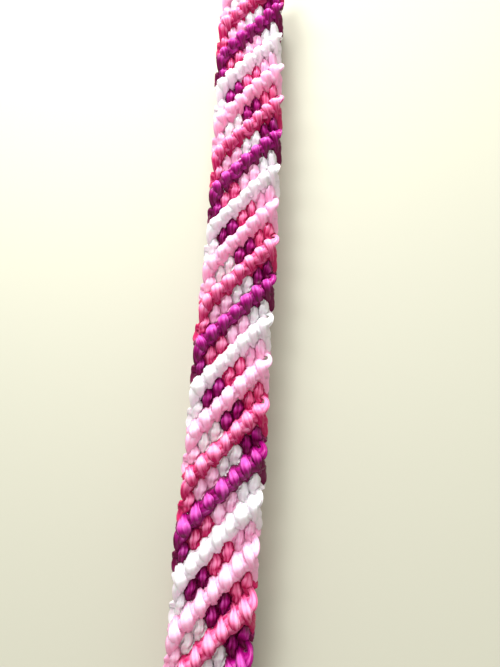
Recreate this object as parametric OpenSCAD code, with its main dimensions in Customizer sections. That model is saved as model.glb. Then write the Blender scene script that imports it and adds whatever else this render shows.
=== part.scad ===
// Knotted friendship bracelet: a band of knotted floss whose two ends are gathered,
// braided into ties and tied to each other, so that the whole thing is one closed loop.
// It lies on a surface face outwards, as a soft loop does when it is laid down:
// two long straight runs one above the other, joined by two round bends.
// +Y runs along the loop, +X across the band, +Z up, origin under the middle.

/* [Band] */
// Width of the knotted band across its face
band_w = 8.5; // [7:0.1:11]
// Thickness of the knotted band
band_t = 1.8; // [1.4:0.1:2.2]
// Length of each straight run between the two bends
run_len = 86; // [80:1:100]
// Clear height between the upper and the lower run, where a wrist goes through
hollow_h = 5.2; // [5:0.1:8]
// How far a row of knots climbs along the band for each unit across it
row_slope = 1.18; // [1:0.02:1.4]
// Distance from the middle to the middle of the slanted first row
first_row_y = 27; // [26:0.5:30]

/* [Fans] */
// Distance from the middle to where the loose floss leaves the gathering knot
fan_root_y = 19.5; // [19:0.5:21]
// Width of the floss at the gathering knot
fan_root_w = 2.6; // [2:0.1:3.2]
// Width of the fan where it meets the first row of knots
fan_w = 7.5; // [6:0.1:8]
// Thickness of the loose floss in the fan
fan_t = 1.2; // [0.8:0.1:1.4]

/* [Ties] */
// Diameter of a braided tie and of a braided tail
braid_d = 2.1; // [1.8:0.1:2.2]
// Diameter of the knots that gather the floss at the ends of the band
gather_d = 3.8; // [3:0.1:4]
// Height of the tie's axis between its two knots
tie_z = 1.5; // [1.2:0.05:1.6]

/* [Closing knot] */
// Length of the closing knot along the loop
closing_len = 7.6; // [7:0.1:8]
// Width of the closing knot across the loop
closing_w = 6.6; // [5.5:0.1:7]
// Height of the closing knot
closing_h = 4.6; // [3.8:0.1:4.8]

/* [Tails] */
// Sideways distance of a loose tail from its tie
tail_x = 2.8; // [2.6:0.05:3]
// Length of a loose braided tail past the closing knot
tail_len = 5.4; // [4:0.1:6]
// Diameter of the knot that stops a braided tail
stop_d = 2.6; // [2.3:0.1:2.7]
// Length of the loose floss past the stopping knot
tassel_len = 3.6; // [3:0.1:4]
// Diameter of the loose floss at its cut end
tassel_d = 2.4; // [1.8:0.1:2.5]

/* [Hidden] */
gap = 0.06;                               // clearance between pieces that touch on the real one
bend_r = (hollow_h + band_t) / 2;         // radius of a bend at the middle of the band's thickness
mid_z = band_t / 2 + bend_r;              // height of the bends' axes
top_z = band_t / 2 + 2 * bend_r;          // height of the middle of the upper run
gather_y = fan_root_y - gap - gather_d / 2;
tie_y0 = closing_len / 2 + gap;           // a tie runs from here ...
tie_y1 = gather_y - gather_d / 2 - gap;   // ... to here
tail_y1 = tie_y0 + tail_len;
stop_y = tail_y1 + gap + stop_d / 2;
tassel_y0 = stop_y + stop_d / 2 + gap;

// The other end of the loop is the same thing turned half a turn about the vertical.
module other_end() rotate([0, 0, 180]) children();

// The band's section: flat faces with round edges, X across and Y through its thickness.
module band_section() {
    square([band_w - band_t, band_t], center = true);
    for (s = [-1, 1]) translate([s * (band_w - band_t) / 2, 0]) circle(d = band_t, $fn = 48);
}

// A straight stretch of band from y0 to y1 with its middle at height z.
module straight(y0, y1, z)
    translate([0, y1, z]) rotate([90, 0, 0]) linear_extrude(height = y1 - y0) band_section();

// The bend that joins the two runs at the +Y end.
module bend()
    translate([0, run_len / 2, mid_z]) rotate([0, 90, 0])
        rotate_extrude(angle = 180, $fn = 96) translate([bend_r, 0]) rotate(90) band_section();

// Everything below the upper run that lies before the slanted first row of the +Y end.
module before_first_row()
    translate([0, 0, -1]) linear_extrude(height = band_t + 2)
        polygon([[-band_w, first_row_y - 2 * band_w * row_slope], [band_w, first_row_y - 2 * band_w * row_slope],
                 [band_w, first_row_y - band_w * row_slope], [-band_w, first_row_y + band_w * row_slope]]);

// The lower run at +Y, which starts with the slanted first row of knots.
module lower_run() difference() {
    straight(first_row_y - band_w * row_slope, run_len / 2, band_t / 2);
    before_first_row();
}

module knotted_band() color("mediumorchid") {
    straight(-run_len / 2, run_len / 2, top_z);
    bend();
    lower_run();
    other_end() bend();
    other_end() lower_run();
}

// The loose floss that fans out from the gathering knot to the slanted first row.
module fan()
    translate([0, 0, (band_t - fan_t) / 2]) linear_extrude(height = fan_t)
        polygon([[-fan_root_w / 2, fan_root_y], [fan_root_w / 2, fan_root_y],
                 [fan_w / 2, first_row_y - fan_w / 2 * row_slope - 2 * gap],
                 [-fan_w / 2, first_row_y + fan_w / 2 * row_slope - 2 * gap]]);
module start_fan() color("pink") fan();
module end_fan() color("pink") other_end() fan();

// A round knot lying on the surface, its middle at x and y.
module round_knot(x, y, d) translate([x, y, d / 2]) sphere(d = d, $fn = 48);

// A round run of floss along Y from y0 to y1, d1 and d2 thick at its two ends.
module round_run(x, y0, y1, z, d1, d2)
    translate([x, y0, z]) rotate([-90, 0, 0]) cylinder(h = y1 - y0, d1 = d1, d2 = d2, $fn = 48);

module start_knot() color("violet") round_knot(0, gather_y, gather_d);
module end_knot() color("violet") other_end() round_knot(0, gather_y, gather_d);

module tie() round_run(0, tie_y0, tie_y1, tie_z, braid_d, braid_d);
module start_tie() color("pink") tie();
module end_tie() color("pink") other_end() tie();

// Outline of an egg-shaped lump turned about its length: l from end to end, d through its middle.
function lump(l, d) = [for (a = [0 : 12 : 180]) [d / 2 * sin(a), l / 2 * cos(a)]];

module closing_knot() color("orchid") hull()
    for (s = [-1, 1]) translate([s * (closing_w - closing_h) / 2, 0, closing_h / 2])
        rotate([90, 0, 0]) rotate_extrude($fn = 32) polygon(lump(closing_len, closing_h));

// A tie's own tail comes back out of the closing knot beside it, as in a square knot.
module tail() round_run(tail_x, tie_y0, tail_y1, braid_d / 2 + 0.05, braid_d, braid_d);
module start_tail() color("pink") tail();
module end_tail() color("pink") other_end() tail();

module start_tail_knot() color("violet") round_knot(tail_x, stop_y, stop_d);
module end_tail_knot() color("violet") other_end() round_knot(tail_x, stop_y, stop_d);

module tassel() round_run(tail_x, tassel_y0, tassel_y0 + tassel_len, tassel_d / 2 + 0.02, 1.6, tassel_d);
module start_tassel() color("lightpink") tassel();
module end_tassel() color("lightpink") other_end() tassel();

knotted_band();
start_fan();
end_fan();
start_knot();
end_knot();
start_tie();
end_tie();
closing_knot();
start_tail();
end_tail();
start_tail_knot();
end_tail_knot();
start_tassel();
end_tassel();
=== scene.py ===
import math

import bpy
import numpy as np
from mathutils import Matrix, Vector


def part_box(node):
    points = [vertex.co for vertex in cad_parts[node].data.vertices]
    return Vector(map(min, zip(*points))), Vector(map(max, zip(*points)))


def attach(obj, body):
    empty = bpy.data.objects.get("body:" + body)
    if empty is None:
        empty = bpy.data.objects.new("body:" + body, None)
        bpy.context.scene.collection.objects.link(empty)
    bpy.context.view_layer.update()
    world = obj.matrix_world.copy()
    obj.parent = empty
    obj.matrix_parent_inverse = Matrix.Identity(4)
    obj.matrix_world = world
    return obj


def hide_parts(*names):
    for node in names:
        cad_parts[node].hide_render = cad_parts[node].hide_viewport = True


# A knotted friendship bracelet. The eight strings are followed through every knot, as a rope model
# draws them tight, and each one is meshed as a flattened length of floss with its plies.
# Lengths are millimetres until mesh() turns them into metres.

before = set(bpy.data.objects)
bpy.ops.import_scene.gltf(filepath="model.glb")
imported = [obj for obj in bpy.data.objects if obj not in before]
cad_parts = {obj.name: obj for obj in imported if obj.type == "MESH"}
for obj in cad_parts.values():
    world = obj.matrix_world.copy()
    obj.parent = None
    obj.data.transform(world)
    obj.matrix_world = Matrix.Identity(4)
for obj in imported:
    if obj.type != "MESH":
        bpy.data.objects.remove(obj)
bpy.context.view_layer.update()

# ---------------------------------------------------------------------------------------------
# Sizes
# ---------------------------------------------------------------------------------------------
BAND_LO, BAND_HI = [np.array(c) * 1000 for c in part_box("knotted_band")]
BAND_T = 1.8                                  # thickness of the band
BEND_R = (BAND_HI[2] - BAND_LO[2] - BAND_T) / 2   # radius of a bend at the middle of the thickness
BEND_Z = BEND_R + BAND_T / 2                  # height of the bends' axes
BEND_Y = BAND_HI[1] - BEND_R - BAND_T / 2     # distance of the bends' axes from the middle
FIRST_ROW_Y = 27.0                            # distance from the middle to the middle of the first row
LOWER = BEND_Y - FIRST_ROW_Y
BEND = math.pi * BEND_R
LOOP = 2 * LOWER + 2 * BEND + 2 * BEND_Y      # length of the knotted band along its middle

STRINGS = 8
COLS = STRINGS - 1                            # knots in a row
PITCH_X, PITCH_Y = 1.115, 1.1956              # from knot to knot in a row, across and along the band
ROW = 2 * PITCH_Y                             # from row to row
PERIODS = 29                                  # of two rows each
# strings from left to right where the ridge colour is purple: pink, pale pink, white, purple
CHART = ["pink", "pink", "pale_pink", "pale_pink", "white", "white", "purple", "purple"]
FIRST_COLOUR = 1                              # the first ridge is the white one
TOP_PHASE = -1.20                             # where the first row starts, so that the stripes on top fall in place

FLOSS_W = 0.598                               # width of a string in the rope model's plane, mm
FLOSS_T = 0.375                               # and its thickness, which is less as floss is drawn flat

rng = np.random.default_rng(20240611)


# ---------------------------------------------------------------------------------------------
# Rope model: lengths in string diameters; u to the right, v down the work, z out of its face
# ---------------------------------------------------------------------------------------------
SP = 0.36                                     # distance from bead to bead
# The way of the two strings through one loose backward knot, about its middle
CORE = [(0.0, -2.6, -0.1), (0.0, -1.3, 0.0), (0.0, 0.0, 0.0), (0.0, 1.3, 0.0), (0.0, 2.6, -0.1)]
WORK = [(2.3, -2.6, 0.2), (2.1, -1.9, 0.9), (1.1, -1.25, 1.15), (0.0, -1.2, 1.2), (-1.05, -1.3, 0.6),
        (-1.1, -1.6, -0.6), (0.0, -2.0, -1.15), (1.0, -2.4, -0.6), (1.1, -2.5, 0.4), (1.15, -2.2, 1.7),
        (1.25, -1.2, 2.2), (1.7, -0.3, 1.6), (2.2, 0.1, 1.0), (2.0, 0.9, 0.95),
        (1.1, 1.5, 1.15), (0.0, 1.6, 1.2), (-1.05, 1.5, 0.6),
        (-1.1, 1.1, -0.6), (0.0, 0.7, -1.15), (1.0, 0.25, -0.6), (1.1, 0.2, 0.4), (1.1, 0.6, 1.7),
        (0.9, 1.5, 2.2), (0.3, 2.5, 1.6), (-0.7, 3.1, 1.0)]


def length_along(p):
    return np.r_[0, np.cumsum(np.linalg.norm(np.diff(p, axis=0), axis=1))]


def evenly(p, n):
    """n + 1 evenly spaced points along a path."""
    s = length_along(p)
    t = np.linspace(0, s[-1], n + 1)
    return np.stack([np.interp(t, s, p[:, i]) for i in range(3)], 1)


def smooth_curve(pts, step, sub=24):
    """Evenly spaced points on the smooth curve through pts."""
    p = np.asarray(pts, float)
    p = np.vstack([2 * p[0] - p[1], p, 2 * p[-1] - p[-2]])
    a, b, c, d = (p[i:len(p) - 3 + i, None, :] for i in range(4))
    t = np.linspace(0, 1, sub, endpoint=False)[None, :, None]
    q = 0.5 * (2 * b + (c - a) * t + (2 * a - 5 * b + 4 * c - d) * t**2 + (3 * b - a - 3 * c + d) * t**3)
    q = np.vstack([q.reshape(-1, 3), p[-2][None]])
    return evenly(q, max(2, int(round(length_along(q)[-1] / step))))


def push_apart(X, I, J, shift, least, share):
    """Moves beads that are closer than least apart, each by its mean correction."""
    d = X[I] - X[J] - shift
    r = np.sqrt((d * d).sum(1))
    m = r < least
    move, count = np.zeros_like(X), np.zeros(len(X))
    if m.any():
        step = d[m] / np.maximum(r[m], 1e-6)[:, None] * ((least - r[m]) * 0.5 * share)[:, None]
        np.add.at(move, I[m], step)
        np.add.at(move, J[m], -step)
        np.add.at(count, I[m], 1)
        np.add.at(count, J[m], 1)
    return move / np.maximum(1, count * 0.5)[:, None]


def tight_knot(angle=48.6, rounds=5000, reach=5.0):
    """One double half hitch drawn tight: the working string and the core."""
    c, s = math.cos(math.radians(angle)), math.sin(math.radians(angle))
    a = smooth_curve([(reach * c, -reach * s, 0)] + WORK + [(-reach * c, reach * s, 0)], 0.55)
    b = smooth_curve([(-reach * c, -reach * s, 0)] + CORE + [(reach * c, reach * s, 0)], 0.55)
    X, na, n = np.vstack([a, b]), len(a), len(a) + len(b)
    ends = [0, na - 1, na, n - 1]
    chain = np.r_[np.zeros(na, int), np.ones(n - na, int)]
    pull = np.ones(n - 1)
    pull[na - 1] = 0
    for it in range(rounds):
        D = X[1:] - X[:-1]
        F = np.zeros_like(X)
        F[:-1] += pull[:, None] * D
        F[1:] -= pull[:, None] * D
        F[ends] = 0
        X = X + 0.15 * F
        if it % 10 == 0:
            seg = np.array([np.linalg.norm(np.diff(X[:na], axis=0), axis=1).mean(),
                            np.linalg.norm(np.diff(X[na:], axis=0), axis=1).mean()])
            I, J = np.nonzero(np.triu(np.linalg.norm(X[:, None] - X[None], axis=2) < 1.4, 1))
            near = (chain[I] == chain[J]) & (np.abs(I - J) <= np.ceil(1.3 / seg)[chain[I]])
            I, J = I[~near], J[~near]
        for _ in range(2):
            move = push_apart(X, I, J, 0.0, 1.0, 1.0) * 0.9
            move[ends] = 0
            X = X + move
    return X[:na], X[na:]


def cut(path, a, b):
    """The part of a path from where it passes point a to where it passes point b."""
    q = evenly(path, 3999)
    i0 = np.argmin(np.linalg.norm(q[:1500, :2] - a, axis=1))
    i1 = len(q) - 1500 + np.argmin(np.linalg.norm(q[-1500:, :2] - b, axis=1))
    return q[i0:i1 + 1]


class Weave:
    """Two rows of knots, a backward and a forward one, which repeat down the band.

    Tight knots are set out on a widened lattice and pushed together, with each string's length kept,
    until the strings lie on each other as in the real band."""

    # the string at position p before the two rows is at NEXT[p] after them
    NEXT = {7: 1, 1: 3, 3: 5, 5: 7, 6: 0, 0: 2, 2: 4, 4: 6}

    def __init__(self, work, core, hx=1.87, hy=2.0, spread=1.6, edge=0.4):
        self.hx, self.hy, self.spread = hx, hy, spread
        half = np.array([hx / 2, hy / 2])
        ur, ul = half * (1, -1), half * (-1, -1)
        ll, lr = -ur, -ul
        a, b = cut(work, ur, ll), cut(core, ul, lr)
        a = evenly(a, int(round(length_along(a)[-1] / SP)))
        b = evenly(b, int(round(length_along(b)[-1] / SP)))

        def centre(row, c, e=1.0):
            return np.array([(c - (COLS - 1) / 2) * hx * e, ((COLS - 1 - c) * hy + row * 2 * hy) * e, 0.0])

        self.start, self.len, n = {}, {}, 0
        beads, home, rest, edges = [], [], [], []
        down = np.array([0, 4 * hy, 0.0])
        for p in range(STRINGS):
            B, C, R, E = [], [], [], []

            def knot(path, row, c, p0, p1):
                m = -1.0 if row == 1 else 1.0         # a forward knot is a backward one's mirror image
                s = length_along(path)
                w0, w1 = np.clip(1 - s / 1.2, 0, 1)[:, None], np.clip(1 - (s[-1] - s) / 1.2, 0, 1)[:, None]
                q = path * (m, 1, 1)
                q = q + (spread - 1) * (w0 * np.array([p0[0] * m, p0[1], 0]) + w1 * np.array([p1[0] * m, p1[1], 0]))
                B.append(q[:-1] + centre(row, c, spread))
                C.append(np.repeat(centre(row, c)[None], len(q) - 1, 0))
                R.append(np.full(len(q) - 1, SP))
                E.append(np.zeros(len(q) - 1, bool))

            def link(p0, p1, c0, c1):
                """The plain stretch down an edge from one row to the next."""
                k = max(2, int(round(edge * hy / SP)))
                t = (np.arange(k) / k)[:, None]
                B.append(p0 + (p1 - p0) * t)
                C.append(c0 + (c1 - c0) * t)
                R.append(np.full(k, edge * hy / k))
                E.append(np.ones(k, bool))

            def at(row, c, off):
                return centre(row, c, spread) + np.array([off[0] * spread, off[1] * spread, 0])

            last = COLS - 1
            if p == STRINGS - 1:
                for c in range(last, -1, -1):
                    knot(a, 0, c, ur, ll)
                link(at(0, 0, ll), at(1, 0, ul), centre(0, 0), centre(1, 0))
                knot(a, 1, 0, ur, ll)
            elif p == STRINGS - 2:
                knot(b, 0, last, ul, lr)
                link(at(0, last, lr), at(1, last, ur), centre(0, last), centre(1, last))
                for c in range(last, -1, -1):
                    knot(b, 1, c, ul, lr)
                link(at(1, 0, ll), at(0, 0, ul) + down * spread, centre(1, 0), centre(0, 0) + down)
            else:
                knot(b, 0, p, ul, lr)
                knot(a, 1, p + 1, ur, ll)
                if p == STRINGS - 3:
                    link(at(1, last, lr), at(0, last, ur) + down * spread, centre(1, last), centre(0, last) + down)
            q = np.vstack(B)
            beads.append(q)
            home.append(np.vstack(C))
            rest.append(np.concatenate(R))
            edges.append(np.concatenate(E))
            self.start[p], self.len[p] = n, len(q)
            n += len(q)
        self.X, self.home, self.rest = np.vstack(beads), np.vstack(home), np.concatenate(rest)
        self.edge = np.concatenate(edges)
        self.N, self.e, self.T = n, spread, down * spread
        self.nxt, self.shift = np.arange(1, n + 1), np.zeros((n, 1))
        for p in range(STRINGS):
            i = self.start[p] + self.len[p] - 1
            self.nxt[i], self.shift[i] = self.start[self.NEXT[p]], 1
        self.prv = np.empty(n, int)
        self.prv[self.nxt] = np.arange(n)
        # each bead's place along its string, for telling neighbours on one string from other strings
        self.chain, self.turn, self.place, self.round = (np.zeros(n, int) for _ in range(4))
        for chain, cycle in enumerate(((7, 1, 3, 5), (6, 0, 2, 4))):
            count = 0
            for turn, p in enumerate(cycle):
                sl = slice(self.start[p], self.start[p] + self.len[p])
                self.chain[sl], self.turn[sl] = chain, turn
                self.place[sl] = count + np.arange(self.len[p])
                count += self.len[p]
            self.round[self.chain == chain] = count
        D = self.X[self.nxt] + self.shift * self.T - self.X
        self.rest0 = np.linalg.norm(D, axis=1)

    def neighbours(self, reach, skip):
        """Pairs of beads of different strings, or far apart along one, that are near each other."""
        out = []
        X = self.X
        for k in (0, 1, 2):
            Y = X + k * self.T
            m = ((X[:, None] - Y[None]) ** 2).sum(2) < reach * reach
            if k == 0:
                m = np.triu(m, 1)
            i, j = np.nonzero(m)
            li = ((-self.turn[i]) // 4) * self.round[i] + self.place[i]
            lj = ((k - self.turn[j]) // 4) * self.round[j] + self.place[j]
            near = (self.chain[i] == self.chain[j]) & ((-self.turn[i]) % 4 == (k - self.turn[j]) % 4) \
                & (np.abs(li - lj) <= skip)
            out.append((i[~near], j[~near], np.full((~near).sum(), k)))
        I, J, K = (np.concatenate(x) for x in zip(*out))
        return I, J, K[:, None]

    def relax(self, rounds=900, wall=7.1, ramp=0.7):
        X = self.X
        for it in range(rounds):
            e = self.spread + (1 - self.spread) * min(1.0, (it + 1) / (rounds * ramp))
            X += self.home * (e - self.e)
            self.e, self.T = e, np.array([0, 4 * self.hy * e, 0.0])
            g = (e - 1) / (self.spread - 1)
            rest = self.rest * (1 - g) + self.rest0 * g
            if it % 8 == 0:
                I, J, K = self.neighbours(1.4, int(math.ceil(1.25 / SP)))
            for _ in range(3):
                D = X[self.nxt] + self.shift * self.T - X
                L = np.sqrt((D * D).sum(1))
                c = (D / np.maximum(L, 1e-9)[:, None]) * ((L - rest) * 0.45)[:, None]
                X += 0.5 * (c - c[self.prv])
                move = push_apart(X, I, J, K * self.T, 1.0, 0.9)
                size = np.linalg.norm(move, axis=1, keepdims=True)
                X += move * np.minimum(1, 0.15 / np.maximum(size, 1e-9))
            D = X[self.nxt] + self.shift * self.T - X
            X += 0.02 * (D - D[self.prv])
            over = np.abs(X[:, 0]) + 0.5 - wall * e
            X[:, 0] -= np.sign(X[:, 0]) * np.maximum(0, over) * 0.3
        return self

    def string(self, p, periods):
        """The way of the string that starts at position p, over the given number of periods, and where it
        turns into a backward row at the right edge."""
        out, turn = [], []
        for k in range(periods):
            sl = slice(self.start[p], self.start[p] + self.len[p])
            out.append(self.X[sl] + k * self.T)
            turn.append(self.edge[sl] * float(p == STRINGS - 3))
            p = self.NEXT[p]
        out.append(self.X[self.start[p]][None] + periods * self.T)
        return np.vstack(out), np.r_[np.concatenate(turn), 0.0]


weave = Weave(*tight_knot()).relax()


# ---------------------------------------------------------------------------------------------
# From the flat band (u across, v along, z through it) to its place in the loop
# ---------------------------------------------------------------------------------------------
TOP_START = LOWER + BEND
TOP_END = TOP_START + 2 * BEND_Y
BAND_START = TOP_PHASE + 2 * PITCH_Y           # the first row's outer side, in the middle of the band
BAND_END = BAND_START + PERIODS * 2 * ROW


def along(v):
    """Distance along the loop of a point at v of the flat band. Outside the upper run the rows lie a little wider."""
    s = v + TOP_PHASE
    before = BAND_START / (TOP_START - BAND_START)
    after = (LOOP - BAND_END) / (BAND_END - TOP_END)
    return s - np.maximum(0, TOP_START - s) * before + np.maximum(0, s - TOP_END) * after


def in_loop(q):
    """(x, distance along the loop, height over the band's middle) to x, y, z."""
    x, s, h = q[..., 0], q[..., 1], q[..., 2]
    s = np.asarray(s, float)
    y, z = np.empty_like(s), np.empty_like(s)
    a1, a2, a3, a4 = LOWER, LOWER + BEND, TOP_END, TOP_END + BEND
    m = s < a1
    y[m], z[m] = FIRST_ROW_Y + s[m], BAND_T / 2 - h[m]
    m = (s >= a1) & (s < a2)
    t = (s[m] - a1) / BEND_R
    y[m], z[m] = BEND_Y + (BEND_R + h[m]) * np.sin(t), BEND_Z - (BEND_R + h[m]) * np.cos(t)
    m = (s >= a2) & (s < a3)
    y[m], z[m] = BEND_Y - (s[m] - a2), BEND_Z + BEND_R + h[m]
    m = (s >= a3) & (s < a4)
    t = (s[m] - a3) / BEND_R
    y[m], z[m] = -BEND_Y - (BEND_R + h[m]) * np.sin(t), BEND_Z + (BEND_R + h[m]) * np.cos(t)
    m = s >= a4
    y[m], z[m] = -BEND_Y + (s[m] - a4), BAND_T / 2 - h[m]
    return np.stack([x, y, z], -1)


RIDGE_UP = 0.52                               # how far a backward row stands up, and a forward one lies back
RIDGE_WIDE = 0.20                             # how far a backward row spreads along the band
SKEW = 0.06                                   # how much steeper the rows lie than the knots' own lattice
EDGE_BACK = 0.10                              # how far a row's last knots at the right edge lie back
# y on the upper run: how far to the side the band lies there, and its width
WANDER = np.array([(-56, 0, 1), (-47, -0.05, 0.99), (-39, -0.15, 0.99), (-33, -0.05, 1.02), (-28, -0.1, 1.02),
                   (-22, 0.1, 1.03), (-16, 0.1, 1.02), (-6.5, 0.0, 1.0), (0.7, 0.3, 1.0), (8, 0.2, 0.98),
                   (20, 0.1, 1.0), (29, -0.4, 1.0), (39, -0.55, 0.97), (47, -0.4, 0.98), (56, -0.5, 1)])
KNOT_LOOSE = np.array([0.05, 0.06, 0.05])     # each knot's own irregularity
knot_noise = rng.normal(size=(2 * PERIODS + 8, COLS + 4, 3)) * KNOT_LOOSE


def settle(q):
    """A point of the flat band, in mm, moved as its row and its knot lie."""
    q = q.copy()
    ph = (q[..., 1] - 3 * PITCH_Y + q[..., 0] * PITCH_Y / PITCH_X) / ROW
    col = q[..., 0] / PITCH_X + (COLS - 1) / 2
    r, c = np.clip(ph + 3, 0, len(knot_noise) - 1.001), np.clip(col + 1.5, 0, COLS + 2.999)
    i, j = r.astype(int), c.astype(int)
    fr, fc = r - i, c - j
    fr, fc = (fr * fr * (3 - 2 * fr))[..., None], (fc * fc * (3 - 2 * fc))[..., None]
    own = (knot_noise[i, j] * (1 - fr) + knot_noise[i + 1, j] * fr) * (1 - fc) \
        + (knot_noise[i, j + 1] * (1 - fr) + knot_noise[i + 1, j + 1] * fr) * fc
    q += own
    # near the right edge the ridges stand higher and the hollows between them are deeper
    lift, right = np.cos(math.pi * ph), np.clip((q[..., 0] - 1.0) / 2.5, 0, 1)
    q[..., 2] += RIDGE_UP * lift * (1 + np.where(lift < 0, 0.75, 0.4) * right)
    q[..., 1] += RIDGE_WIDE * np.sin(math.pi * ph) - SKEW * q[..., 0] + EDGE_BACK * np.maximum(0, q[..., 0] - 1) ** 2
    return q


def place(q):
    q = settle(q)
    q[..., 1] = along(q[..., 1])
    # the band isn't quite straight and even
    y = TOP_START + BEND_Y - q[..., 1]
    q[..., 0] = q[..., 0] * np.interp(y, WANDER[:, 0], WANDER[:, 2]) + np.interp(y, WANDER[:, 0], WANDER[:, 1])
    return in_loop(q)


# ---------------------------------------------------------------------------------------------
# Meshing floss
# ---------------------------------------------------------------------------------------------
PLIES = 6
SIDES = 3 * PLIES
VALLEY = 0.22                                # depth of the groove between two plies, of the radius


def frames(P, turn_rate, start=0.0):
    """Tangents and, carried along without twist, one normal at each point; then a slow turn of the plies."""
    T = np.gradient(P, axis=0)
    T /= np.linalg.norm(T, axis=1, keepdims=True)
    n = np.cross(T[0], (0.3, 0.2, 0.93))
    n /= np.linalg.norm(n)
    N = np.empty_like(P)
    N[0] = n
    for i in range(1, len(P)):
        n = n - T[i] * (n @ T[i])
        n /= math.sqrt(n @ n)
        N[i] = n
    B = np.cross(T, N)
    s = length_along(P)
    f = start + turn_rate * s
    c, d = np.cos(f)[:, None], np.sin(f)[:, None]
    return T, c * N + d * B, c * B - d * N, s


def slow_noise(n, per, count, seed):
    """count independent smooth random signals of n samples, changing over about per samples."""
    g = np.random.default_rng(seed)
    k = max(4, int(n / per) + 4)
    v = g.normal(size=(k, count))
    t = np.linspace(0, k - 3.001, n) + 1
    i = t.astype(int)
    f = (t - i)[:, None]
    f = f * f * (3 - 2 * f)
    return v[i] * (1 - f) + v[i + 1] * f


def ring_offsets(n, radius, seed, per=8.0, rough=0.10, valley=VALLEY):
    """Polar outline of a length of floss: SIDES radii for each of n rings, and each corner's height on its ply."""
    ply = slow_noise(n, per, PLIES, seed)
    groove = slow_noise(n, per, PLIES, seed + 1)
    r = np.empty((n, SIDES))
    top = np.empty((n, SIDES))
    for k in range(PLIES):
        a = 1 + rough * ply[:, k]
        b = 1 + rough * ply[:, (k + 1) % PLIES]
        r[:, 3 * k] = (np.minimum(a, b)) * (1 - valley * (1 + 0.5 * groove[:, k]))
        r[:, 3 * k + 1] = b
        r[:, 3 * k + 2] = b
        # a groove's corner gets 0 and a ply's top 1, which the material uses to paint shade in the grooves
        top[:, 3 * k], top[:, 3 * k + 1], top[:, 3 * k + 2] = 0, 1, 1
    return r * np.asarray(radius).reshape(-1, 1), top


ANGLES = np.concatenate([[2 * math.pi / PLIES * k, 2 * math.pi / PLIES * (k + 0.31), 2 * math.pi / PLIES * (k + 0.69)]
                         for k in range(PLIES)])


class Bundle:
    """Collects tubes that become one mesh."""

    def __init__(self):
        self.v, self.f, self.caps, self.uvw, self.top, self.crown, self.n = [], [], [], [], [], [], 0

    def add(self, rings, along_mm, top, crown, seed):
        """rings is (n, SIDES, 3); top is each corner's height on its ply, which the material paints darker in the
        grooves as painted shade; the next argument is each corner's painted light and shade.
        """
        n = len(rings)
        base = self.n
        mid = rings.mean(1)
        m = n // 2
        way = np.cross(rings[m, 0] - mid[m], rings[m, SIDES // 3] - mid[m]) @ (mid[m + 1] - mid[m])
        turn = 1 if way > 0 else -1
        self.v.append(rings.reshape(-1, 3))
        i = np.arange(n - 1)[:, None] * SIDES + base
        j = np.arange(SIDES)[None]
        k = (j + 1) % SIDES
        self.f.append(np.stack([i + j, i + k, i + SIDES + k, i + SIDES + j], -1).reshape(-1, 4)[:, ::turn])
        ends = np.vstack([mid[0], mid[-1]])
        self.v.append(ends)
        c0, c1 = base + n * SIDES, base + n * SIDES + 1
        jj, kk = np.arange(SIDES), (np.arange(SIDES) + 1) % SIDES
        self.caps.append(np.stack([np.full(SIDES, c0), base + kk, base + jj], -1)[:, ::turn])
        o = base + (n - 1) * SIDES
        self.caps.append(np.stack([np.full(SIDES, c1), o + jj, o + kk], -1)[:, ::turn])
        off = np.random.default_rng(seed).uniform(0, 50)
        a = ANGLES
        uvw = np.empty((n, SIDES, 3))
        uvw[..., 0] = along_mm[:, None] + off
        uvw[..., 1] = np.cos(a)[None] * 0.4
        uvw[..., 2] = np.sin(a)[None] * 0.4 + off
        self.uvw += [uvw.reshape(-1, 3), np.array([[along_mm[0] + off, 0, off], [along_mm[-1] + off, 0, off]])]
        self.top += [top.reshape(-1), np.array([0.3, 0.3])]
        self.crown += [crown.reshape(-1), crown[[0, -1]].mean(1)]
        self.n += n * SIDES + 2

    def mesh(self, name, material):
        v = np.vstack(self.v) / 1000
        quads, tris = np.vstack(self.f), np.vstack(self.caps)
        loops = np.concatenate([quads.ravel(), tris.ravel()]).astype(np.int32)
        size = np.r_[np.full(len(quads), 4), np.full(len(tris), 3)]
        start = np.r_[0, np.cumsum(size)[:-1]].astype(np.int32)
        me = bpy.data.meshes.new(name)
        me.vertices.add(len(v))
        me.vertices.foreach_set("co", v.astype(np.float32).ravel())
        me.loops.add(len(loops))
        me.loops.foreach_set("vertex_index", loops)
        me.polygons.add(len(size))
        me.polygons.foreach_set("loop_start", start)
        me.polygons.foreach_set("use_smooth", np.ones(len(size), bool))
        me.update(calc_edges=True)
        me.validate()
        at = me.attributes.new("floss", "FLOAT_VECTOR", "POINT")
        at.data.foreach_set("vector", np.vstack(self.uvw).astype(np.float32).ravel())
        at = me.attributes.new("ply", "FLOAT", "POINT")
        at.data.foreach_set("value", np.concatenate(self.top).astype(np.float32))
        at = me.attributes.new("crown", "FLOAT", "POINT")
        at.data.foreach_set("value", np.concatenate(self.crown).astype(np.float32))
        me.materials.append(material)
        ob = bpy.data.objects.new(name, me)
        bpy.context.scene.collection.objects.link(ob)
        return ob
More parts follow.
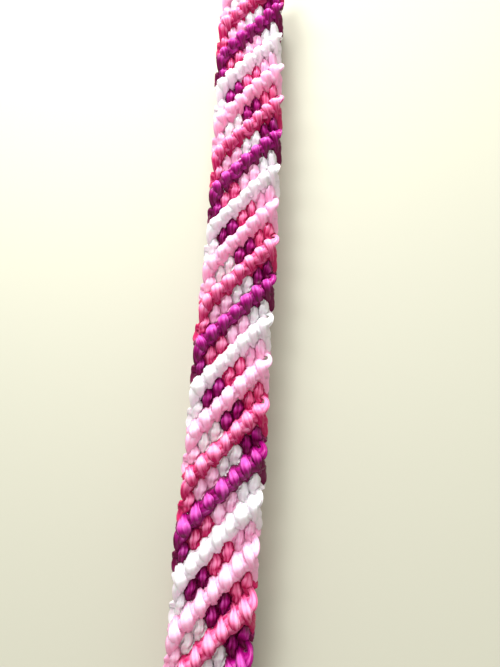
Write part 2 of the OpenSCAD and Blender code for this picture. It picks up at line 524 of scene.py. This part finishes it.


# ---------------------------------------------------------------------------------------------
# Floss material
# ---------------------------------------------------------------------------------------------
# deep is the colour painted where shade falls and light the colour painted where light falls, about the floss's own
# colour
def floss_material(name, colour, deep, light, rough=0.30, sheen=0.02):
    mat = bpy.data.materials.new(name)
    mat.use_nodes = True
    nt = mat.node_tree
    nt.nodes.clear()

    def node(kind, **values):
        nd = nt.nodes.new(kind)
        for k, v in values.items():
            if k in nd.inputs:
                nd.inputs[k].default_value = v
            else:
                setattr(nd, k, v)
        return nd

    link = nt.links.new
    out = node("ShaderNodeOutputMaterial")
    sh = node("ShaderNodeBsdfPrincipled")
    sh.inputs["Sheen Weight"].default_value = sheen
    sh.inputs["Sheen Roughness"].default_value = 0.45
    sh.inputs["Sheen Tint"].default_value = (*[min(1, c * 0.7 + 0.3) for c in light], 1)
    sh.inputs["Specular IOR Level"].default_value = 0.16
    sh.inputs["Subsurface Weight"].default_value = 0.30
    sh.inputs["Subsurface Radius"].default_value = (1.0, 0.6, 0.8)
    sh.inputs["Subsurface Scale"].default_value = 0.0004
    at = node("ShaderNodeAttribute", attribute_name="floss", attribute_type="GEOMETRY")
    ply = node("ShaderNodeAttribute", attribute_name="ply", attribute_type="GEOMETRY")
    # fibres: noise drawn out along the string
    stretch = node("ShaderNodeMapping", vector_type="POINT")
    stretch.inputs["Scale"].default_value = (0.55, 7.0, 7.0)
    link(at.outputs["Vector"], stretch.inputs["Vector"])
    fibre = node("ShaderNodeTexNoise", noise_dimensions="3D")
    fibre.inputs["Scale"].default_value = 2.2
    fibre.inputs["Detail"].default_value = 4.0
    fibre.inputs["Roughness"].default_value = 0.6
    link(stretch.outputs["Vector"], fibre.inputs["Vector"])
    patch = node("ShaderNodeTexNoise", noise_dimensions="3D")
    patch.inputs["Scale"].default_value = 0.35
    patch.inputs["Detail"].default_value = 2.0
    link(at.outputs["Vector"], patch.inputs["Vector"])
    # strands: the same, coarser
    wide = node("ShaderNodeMapping", vector_type="POINT")
    wide.inputs["Scale"].default_value = (0.45, 3.0, 3.0)
    link(at.outputs["Vector"], wide.inputs["Vector"])
    strand = node("ShaderNodeTexNoise", noise_dimensions="3D")
    strand.inputs["Scale"].default_value = 2.2
    strand.inputs["Detail"].default_value = 1.0
    link(wide.outputs["Vector"], strand.inputs["Vector"])
    # colour: painted shade in the grooves and between the knots, painted light on the plies' and the knots' tops, with
    # fibres and slow dye variation
    ramp = node("ShaderNodeValToRGB")
    ramp.color_ramp.elements[0].position = 0.20
    ramp.color_ramp.elements[0].color = (*deep, 1)
    ramp.color_ramp.elements[1].position = 0.80
    ramp.color_ramp.elements[1].color = (*light, 1)
    mid = ramp.color_ramp.elements.new(0.50)
    mid.color = (*colour, 1)
    # painted light and shade from the per-corner shading attribute, and painted shade in the grooves from the ply
    # attribute
    crown = node("ShaderNodeAttribute", attribute_name="crown", attribute_type="GEOMETRY")
    rise = node("ShaderNodeMath", operation="MULTIPLY_ADD")
    rise.inputs[1].default_value = 0.62
    rise.inputs[2].default_value = -0.52
    link(crown.outputs["Fac"], rise.inputs[0])
    high = node("ShaderNodeMath", operation="MULTIPLY_ADD")
    high.inputs[1].default_value = 0.12
    link(ply.outputs["Fac"], high.inputs[0])
    link(rise.outputs[0], high.inputs[2])
    both = node("ShaderNodeMath", operation="MULTIPLY_ADD")
    both.inputs[1].default_value = 0.65
    link(strand.outputs["Fac"], both.inputs[0])
    finer = node("ShaderNodeMath", operation="MULTIPLY")
    finer.inputs[1].default_value = 0.35
    link(fibre.outputs["Fac"], finer.inputs[0])
    link(finer.outputs[0], both.inputs[2])
    add = node("ShaderNodeMath", operation="ADD")
    link(high.outputs[0], add.inputs[0])
    mix = node("ShaderNodeMath", operation="MULTIPLY_ADD")
    mix.inputs[1].default_value = 0.80
    link(both.outputs[0], mix.inputs[0])
    part = node("ShaderNodeMath", operation="MULTIPLY_ADD")
    part.inputs[1].default_value = 0.35
    part.inputs[2].default_value = 0.0
    link(patch.outputs["Fac"], part.inputs[0])
    link(part.outputs[0], mix.inputs[2])
    link(mix.outputs[0], add.inputs[1])
    link(add.outputs[0], ramp.inputs["Fac"])
    link(ramp.outputs["Color"], sh.inputs["Base Color"])
    # roughness from the fibres
    rr = node("ShaderNodeMapRange")
    rr.inputs["To Min"].default_value = rough - 0.10
    rr.inputs["To Max"].default_value = rough + 0.14
    link(fibre.outputs["Fac"], rr.inputs["Value"])
    link(rr.outputs["Result"], sh.inputs["Roughness"])
    bump = node("ShaderNodeBump")
    bump.inputs["Strength"].default_value = 0.7
    bump.inputs["Distance"].default_value = 0.00006
    link(both.outputs[0], bump.inputs["Height"])
    link(bump.outputs["Normal"], sh.inputs["Normal"])
    link(sh.outputs["BSDF"], out.inputs["Surface"])
    return mat


# each floss: its own colour, a darker deep colour painted as shade and a lighter one painted as light
MATERIALS = {
    "purple": floss_material("purple floss", (0.36, 0.003, 0.20), (0.13, 0.0002, 0.045), (0.66, 0.11, 0.50)),
    "white": floss_material("white floss", (0.80, 0.78, 0.84), (0.80, 0.73, 0.80), (0.82, 0.81, 0.86), rough=0.50),
    "pale_pink": floss_material("pale pink floss", (0.94, 0.54, 0.77), (0.91, 0.41, 0.64), (0.93, 0.62, 0.83)),
    "pink": floss_material("pink floss", (0.86, 0.18, 0.40), (0.52, 0.010, 0.11), (0.98, 0.43, 0.67)),
}


# ---------------------------------------------------------------------------------------------
# The knotted band
# ---------------------------------------------------------------------------------------------
RING_STEP = 0.58                              # string diameters from ring to ring where it's hidden
RIDE_WIDE = 0.86                              # how much wider a string is spread where it rides on the face
RIDE_HIGH = 0.8                               # and how much fuller its outer side is there
DRAWN_B, DRAWN_F = 0.37, 0.48                 # how much shorter it lies there, in a backward and in a forward row
SLACK = np.random.default_rng(77)             # of the arcs at the right edge
ARCH, SINK = 0.47, 0.25                       # its arch there, and how far the strings beside it sink, in diameters
weave.X[:, 2] -= (weave.X[:, 2].max() + weave.X[:, 2].min()) / 2
scale = np.array([PITCH_X / weave.hx, PITCH_Y / weave.hy, FLOSS_T])


def band_string(p, seed):
    """Rings of the whole string that starts at position p, in the flat band, mm."""
    q, turn = weave.string(p, PERIODS)
    # where it comes down the right edge into a backward row, it stands out in a slack arc
    s = length_along(q)
    arc = np.zeros(len(q))
    for i in np.nonzero((turn[1:] > 0) & (turn[:-1] == 0))[0]:
        x = s - s[i + 1] - 0.1
        arc = np.maximum(arc, np.exp(-np.abs(x / np.where(x < 0, 1.9, 1.5)) ** 2.6) * SLACK.uniform(0.4, 1.0))
    q = q + arc[:, None] * np.array([1.35, -0.2, 0.6])
    # a light smoothing, then rings that lie closer together where the string is seen
    n = int(round(length_along(q)[-1] / 0.12))
    arc = np.interp(np.linspace(0, 1, n + 1), length_along(q) / length_along(q)[-1], arc)
    fine = evenly(q, n)
    loose = np.clip(2 * arc[1:-1, None], 0, 1)
    for k in range(90):
        bend = 0.25 * fine[:-2] - 0.5 * fine[1:-1] + 0.25 * fine[2:]
        fine[1:-1] += bend if k < 20 else loose * bend
    seen = np.maximum(np.clip((fine[:, 2] - 0.2) / 0.5, 0, 1), arc) + 0.5 * np.clip((-fine[:, 2] - 0.9) / 0.4, 0, 1)
    count = np.r_[0, np.cumsum(np.linalg.norm(np.diff(fine, axis=0), axis=1) * (1 + 0.85 * seen[1:]))] / RING_STEP
    t = np.linspace(0, count[-1], int(round(count[-1])) + 1)
    P = np.stack([np.interp(t, count, fine[:, i]) for i in range(3)], 1)
    arc = np.interp(t, count, arc)
    z = P[:, 2].copy()
    ph = (P[:, 1] - 3 * weave.hy + P[:, 0] * weave.hy / weave.hx) / (2 * weave.hy)
    backward = 0.5 + 0.5 * np.cos(math.pi * ph)
    up = np.clip((z - 0.45 + 0.25 * backward) / (0.5 + 0.2 * backward), 0, 1)
    up = up * up * (3 - 2 * up) * (1 - np.minimum(1, 1.5 * arc))
    # each stretch that rides on the face is drawn short and lies a little its own way
    g = np.random.default_rng(seed + 500)
    riding = np.r_[False, up > 0.02, False]
    starts, ends = np.nonzero(riding[1:] & ~riding[:-1])[0], np.nonzero(~riding[1:] & riding[:-1])[0]
    width, painted_lower_shade, oval = np.ones(len(P)), np.zeros(len(P)), np.zeros(len(P))
    for a, b in zip(starts, ends):
        w = up[a:b]
        own, tilt, short = g.normal(0, 0.09), g.normal(0, 0.11), g.normal(0, 0.05)
        oval[a:b] = np.sqrt(1 - np.linspace(-1, 1, b - a + 2)[1:-1] ** 2)
        if w.max() < 0.6:
            continue
        c = (P[a:b, :2] * w[:, None]).sum(0) / w.sum()
        back = (backward[a:b] * w).sum() / w.sum()
        k = 1 - w * (DRAWN_F + (DRAWN_B - DRAWN_F) * back + short)
        co, si = np.cos(tilt * w), np.sin(tilt * w)
        d = (P[a:b, :2] - c) * k[:, None]
        P[a:b, :2] = c + np.stack([co * d[:, 0] - si * d[:, 1], si * d[:, 0] + co * d[:, 1]], 1)
        P[a:b, 2] -= w * (0.12 + 0.24 * back) * d[:, 1]
        width[a:b] = 1 + own * w
        # the lower end of each stretch, turned from the light, which gets painted shade
        painted_lower_shade[a:b] = w * np.clip(0.40 + d[:, 1] / 0.7, 0, 1)
    # it arches over the strings that it crosses, which sink between two such stretches
    P[:, 2] += ARCH * np.maximum(0, z - 0.5) ** 1.3 - SINK * np.exp(-((z - 0.5) / 0.22) ** 2)
    P[1:-1] = 0.25 * P[:-2] + 0.5 * P[1:-1] + 0.25 * P[2:]
    T, N, B, s = frames(P, 0.32, seed)
    r, top = ring_offsets(len(P), (0.69 - 0.11 * up - 0.27 * arc) * width, seed * 10, rough=0.07, valley=0.16)
    o = r[..., None] * (np.cos(ANGLES)[None, :, None] * N[:, None] + np.sin(ANGLES)[None, :, None] * B[:, None])
    # spread sideways where it rides on the face or on the back
    side = np.cross(T, (0, 0, 1.0))
    flat = np.linalg.norm(side, axis=1, keepdims=True)
    side /= np.maximum(flat, 1e-6)
    up = up * flat[:, 0]
    under = np.clip((-z - 0.8) / 0.6, 0, 1) * flat[:, 0] ** 2
    level = np.clip(1 - np.abs(z) / 0.8, 0, 1) * flat[:, 0] ** 2
    wider = RIDE_WIDE * (0.62 + 0.38 * backward) * up ** 0.8 * oval + 0.6 * under + 0.5 * level * (1 - arc)
    o += (o * side[:, None]).sum(-1, keepdims=True) * side[:, None] * wider[:, None, None]
    o[..., 2] += np.maximum(o[..., 2], 0) * (RIDE_HIGH * up)[:, None]
    rings = (P[:, None] + o) * scale
    # painted shading: a corner is painted lighter the higher it stands over the band's middle and darker between the
    # knots; the ridges a little lighter than the forward rows; each knot's lower end gets painted shade
    crown = np.clip((np.abs(rings[..., 2]) - 0.15) / 0.80, 0, 1) * ((0.98 + 0.06 * backward) * (1 - (0.56 + 0.24 * backward) * painted_lower_shade))[:, None]
    # painted shade on the forward rows' beads in the hollows near the right edge
    painted_hollow_shade = np.clip((rings[..., 0] - 0.5) / 3.0, 0, 1) * (1 - backward)[:, None]
    crown *= 1 - 0.42 * painted_hollow_shade
    # the slack arcs at the right edge are painted light
    return rings, s * FLOSS_W, top, np.maximum(crown, 0.9 * arc[:, None])


bundles = {c: Bundle() for c in MATERIALS}
BAND_MID = 0.9                                # height of the middle of the lower run, mm
string_ends = []                              # of each string: its colour and, at both ends, its place and its way out
for p in range(STRINGS):
    c = CHART[(p - 2 * FIRST_COLOUR) % STRINGS]
    rings, s, top, crown = band_string(p, p + 1)
    rings = place(rings)
    # the underside of the lower run is pressed flat by the surface that it lies on
    deep = np.maximum(0, BAND_MID - rings[..., 2])
    rings[..., 2] += deep - 0.92 * np.tanh(deep / 0.92)
    bundles[c].add(rings, s, top, crown, p)
    mid = rings.mean(1)
    string_ends.append((c, (mid[1], mid[0] - mid[3]), (mid[-2], mid[-1] - mid[-4])))
for c, b in bundles.items():
    ob = b.mesh("band_" + c, MATERIALS[c])
    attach(ob, "root")
    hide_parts("knotted_band")


# ---------------------------------------------------------------------------------------------
# The loose ends: at each end of the band the eight strings fan in to a gathering knot, run on as a
# braided tie into the closing knot and come out of it as a short tail with a knot and cut ends
# ---------------------------------------------------------------------------------------------
def middle(node):
    lo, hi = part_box(node)
    return (np.array(lo) + np.array(hi)) * 500


GATHER, TIE, CLOSING = middle("start_knot"), middle("start_tie"), middle("closing_knot")
TAIL, STOP, TASSEL = middle("start_tail"), middle("start_tail_knot"), middle("start_tassel")
TASSEL_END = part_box("start_tassel")[1][1] * 1000
GATHER_D, STOP_D = 1.22, 0.92                  # how thick the eight strings are where they're knotted
CLOSE_D = np.array([1.62, 1.62, 1.22])         # the same in the closing knot, across, along and upwards
STRING_R = 0.25                               # radius of a loose string
PLAIT = 4.7                                   # length in which a braid comes round
# The way of a cord through an overhand knot, and of one of the two cords through a square knot
OVERHAND = np.array([
    (0.20, -1.00, -0.15), (0.31, -0.51, 0.11), (0.44, -0.11, 0.45), (0.28, 0.28, 0.80), (-0.10, 0.61, 0.99),
    (-0.60, 0.81, 0.90), (-1.05, 0.84, 0.60), (-1.28, 0.70, 0.13), (-1.25, 0.47, -0.36), (-0.94, 0.21, -0.72),
    (-0.45, 0.02, -0.86), (0.09, -0.12, -0.84), (0.61, -0.27, -0.78), (1.05, -0.49, -0.55), (1.23, -0.77, -0.12),
    (1.13, -0.99, 0.37), (0.78, -1.07, 0.77), (0.29, -0.97, 0.97), (-0.19, -0.73, 0.95), (-0.49, -0.36, 0.67),
    (-0.52, 0.02, 0.29), (-0.34, 0.46, 0.01), (-0.27, 0.92, -0.20)])
SQUARE = np.array([
    (-0.50, 1.83, -0.13), (-0.50, 1.23, -0.14), (-0.53, 0.65, -0.28), (-0.77, 0.15, -0.48), (-1.17, -0.27, -0.41),
    (-1.46, -0.64, -0.06), (-1.46, -0.91, 0.46), (-1.14, -1.08, 0.92), (-0.60, -1.14, 1.13), (0.00, -1.14, 1.15),
    (0.60, -1.14, 1.13), (1.14, -1.08, 0.92), (1.46, -0.91, 0.46), (1.46, -0.64, -0.06), (1.17, -0.27, -0.41),
    (0.77, 0.15, -0.48), (0.53, 0.65, -0.28), (0.50, 1.23, -0.14), (0.50, 1.83, -0.13)])


def loose_end(side):
    """The middle of the eight strings from the fan's point to the cut ends, as the start's lies, with the
    frame in which they're laid out. side is 1 for the start and -1 for the end, which interlock when
    the end's is turned half round."""
    gather = GATHER + OVERHAND * (1, -1, 1) * GATHER_D
    close = CLOSING + SQUARE * (1, 1, side) * CLOSE_D
    stop = STOP + OVERHAND * STOP_D
    pts = [GATHER + (0, 3.0, -0.75), GATHER + (0, 2.1, -0.45), *gather, (0, GATHER[1] - 2.4, TIE[2] + 0.15),
           (0, GATHER[1] - 3.6, TIE[2]), (0, TIE[1] + 1, TIE[2]), (0, TIE[1] - 2, TIE[2]), (-0.25, CLOSING[1] + 4.9, TIE[2] + 0.2),
           *close, (2.0, CLOSING[1] + 4.3, TAIL[2] + 0.5), (TAIL[0], CLOSING[1] + 5.9, TAIL[2]),
           (TAIL[0], CLOSING[1] + 8.2, TAIL[2]), *stop, (TAIL[0], STOP[1] + 1.9, TASSEL[2] + 0.1),
           (TASSEL[0], TASSEL[1] + 0.4, TASSEL[2]), (TASSEL[0], TASSEL_END, TASSEL[2] - 0.1)]
    P = smooth_curve(pts, 0.16)
    s = length_along(P)

    def mark(k):
        return int(np.argmin(np.linalg.norm(P - pts[k], axis=1)))

    g1 = 2 + len(gather)
    c0 = g1 + 5
    t0 = c0 + len(close)
    k0 = t0 + 3
    # carried along without twist, then turned so that the broad side lies flat in the tie and in the tail
    T, N, B, _ = frames(P, 0.0)
    flat = [mark(0), mark(g1 + 1), mark(c0 - 2), mark(t0 + 1), mark(k0 - 1)]
    lie = np.unwrap([math.atan2(B[i, 0], N[i, 0]) for i in flat])
    a = np.interp(s, s[flat], lie)[:, None]
    N, B = np.cos(a) * N + np.sin(a) * B, np.cos(a) * B - np.sin(a) * N
    # how far they're braided, gathered in a knot and spread as cut ends
    sg, st, sk, se = s[mark(g1 - 1)], s[mark(g1 - 1)] + 1.6, s[mark(k0)], s[mark(k0 + len(stop) - 1)]
    braided = np.clip((s - sg) / (st - sg), 0, 1) * np.clip((sk + 2.0 - s) / 2.0, 0, 1)
    tight = np.clip((s - sk + 1) / 1.5, 0, 1)
    spread = np.clip((s - se - 0.3) / (s[-1] - se - 0.3), 0, 1)
    return P, N, B, s, braided, tight, spread


LEGS = [(0, 1, 2), (3, 4), (5, 6, 7)]          # strings of the braid's three legs, from left to right
for side, end in ((1, "start"), (-1, "end")):
    P, N, B, s, braided, tight, spread = loose_end(side)
    half = np.array([side, side, 1.0])         # the end's lies like the start's turned half round
    found = sorted(((e[1 if side == 1 else 2][0] * half, e[1 if side == 1 else 2][1] * half, e[0]) for e in string_ends),
                   key=lambda e: e[0][0])
    bundles = {c: Bundle() for c in MATERIALS}
    for leg, members in enumerate(LEGS):
        t = 2 * math.pi * (s / PLAIT + leg / 3)
        lx = braided * 0.50 * np.sin(t) + (1 - braided) * (-0.36, 0.0, 0.36)[leg]
        ly = braided * 0.40 * np.sin(2 * t) + (1 - braided) * (-0.14, 0.32, -0.14)[leg]
        for k, i in enumerate(members):
            at0, out0, colour = found[i]
            g = np.random.default_rng(9000 + 10 * i + (side < 0))
            a = 2 * math.pi * (k + 0.25) / len(members) + 0.25 * s + leg
            ox, oy = lx + 0.235 * np.cos(a), ly + 0.235 * np.sin(a) * (1 - 0.3 * braided)
            shrink = 1 - 0.16 * tight * (1 - spread)
            away = g.normal(0, 0.32, 2) + (ox[-1] * 0.9, oy[-1] * 0.6)
            q = P + N * (ox * shrink + away[0] * spread ** 1.5)[:, None] + B * (oy * shrink + away[1] * spread ** 1.5)[:, None]
            q = q[:len(q) - int(g.uniform(0, 5))]
            # from the band to the fan's point, with a little slack of its own
            r0, r1 = at0 + out0 / np.linalg.norm(out0) * 1.3, q[0] - (q[3] - q[0]) / np.linalg.norm(q[3] - q[0]) * 2.2
            f = np.linspace(0, 1, 50, endpoint=False)[:, None]
            fan = at0 * (1 - f) ** 3 + 3 * r0 * f * (1 - f) ** 2 + 3 * r1 * f * f * (1 - f) + q[0] * f**3
            fan += np.sin(math.pi * f) ** 2 * (g.normal(0, 0.10), 0, g.normal(0, 0.12))
            q = np.vstack([fan, q])
            q = evenly(q, int(round(length_along(q)[-1] / 0.27)))
            for _ in range(3):
                q[1:-1] = 0.25 * q[:-2] + 0.5 * q[1:-1] + 0.25 * q[2:]
            q[:, 2] = np.maximum(q[:, 2], STRING_R)
            T1, N1, B1, s1 = frames(q, 0.8, i)
            radius = STRING_R * (1 + 0.12 * np.clip(1 - s1 / 3, 0, 1)) * np.ones(len(q))
            r, top = ring_offsets(len(q), radius, 700 + 10 * i + (side < 0), per=7.0)
            o = r[..., None] * (np.cos(ANGLES)[None, :, None] * N1[:, None] + np.sin(ANGLES)[None, :, None] * B1[:, None])
            # the loose strings get one even level of the painted light and shade, between the two
            crown = np.full(r.shape, 0.72)
            bundles[colour].add((q[:, None] + o) * half, s1, top, crown, 40 + 10 * i)
    for c, b in bundles.items():
        ob = b.mesh(end + "_strings_" + c, MATERIALS[c])
        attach(ob, "root")
        for node in ("_fan", "_knot", "_tie", "_tail", "_tail_knot", "_tassel"):
            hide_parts(end + node)
        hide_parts("closing_knot")


# ---------------------------------------------------------------------------------------------
# Floor, light and camera
# ---------------------------------------------------------------------------------------------
def floor_material():
    mat = bpy.data.materials.new("pale surface")
    mat.use_nodes = True
    nt = mat.node_tree
    sh = nt.nodes["Principled BSDF"]
    sh.inputs["Base Color"].default_value = (0.535, 0.54, 0.455, 1)
    sh.inputs["Roughness"].default_value = 0.85
    sh.inputs["Specular IOR Level"].default_value = 0.2
    return mat


me = bpy.data.meshes.new("floor")
h = 1.5
me.from_pydata([(-h, -h, 0), (h, -h, 0), (h, h, 0), (-h, h, 0)], [], [(0, 1, 2, 3)])
me.materials.append(floor_material())
floor = bpy.data.objects.new("floor", me)
floor.location.z = -0.0001
bpy.context.scene.collection.objects.link(floor)


def area_light(name, place_mm, aim_mm, size_mm, power, colour=(1, 1, 1)):
    data = bpy.data.lights.new(name, "AREA")
    data.shape = "DISK"
    data.size = size_mm / 1000
    data.energy = power
    data.color = colour
    ob = bpy.data.objects.new(name, data)
    at, aim = Vector(place_mm) / 1000, Vector(aim_mm) / 1000
    ob.location = at
    ob.rotation_mode = "QUATERNION"
    ob.rotation_quaternion = (aim - at).to_track_quat("-Z", "Y")
    bpy.context.scene.collection.objects.link(ob)
    return ob


area_light("key", (-130, 210, 390), (0, 0, 0), 130, 0.58, (1.0, 0.99, 0.98))
area_light("top", (-18, 260, 134), (0, 0, 0), 76, 1.05, (1.0, 0.99, 0.98))
area_light("near", (-34, 50, 76), (0, 56, 8), 36, 0.052, (1.0, 0.99, 0.98))

world = bpy.data.worlds.new("studio")
world.use_nodes = True
world.node_tree.nodes["Background"].inputs["Color"].default_value = (1.0, 0.965, 0.86, 1)
world.node_tree.nodes["Background"].inputs["Strength"].default_value = 0.65
bpy.context.scene.world = world

cam_data = bpy.data.cameras.new("camera")
cam_data.sensor_width = 36.0
cam_data.lens = 36.0 * 560 / 667             # the sensor's 36 mm are the photograph's long side
cam_data.clip_start, cam_data.clip_end = 0.001, 10
cam = bpy.data.objects.new("camera", cam_data)
cam.rotation_mode = "QUATERNION"
turn = Matrix.Rotation(math.radians(15.40), 3, "X") @ Matrix.Rotation(math.radians(3.58), 3, "Z")
cam.rotation_quaternion = turn.to_quaternion()
cam.location = (0.00194, -0.0227, 0.0682)
bpy.context.scene.collection.objects.link(cam)
bpy.context.scene.camera = cam

bpy.context.scene.view_settings.view_transform = "Standard"
bpy.context.scene.view_settings.look = "None"
bpy.context.scene.view_settings.exposure = 0.0

bpy.context.view_layer.update()
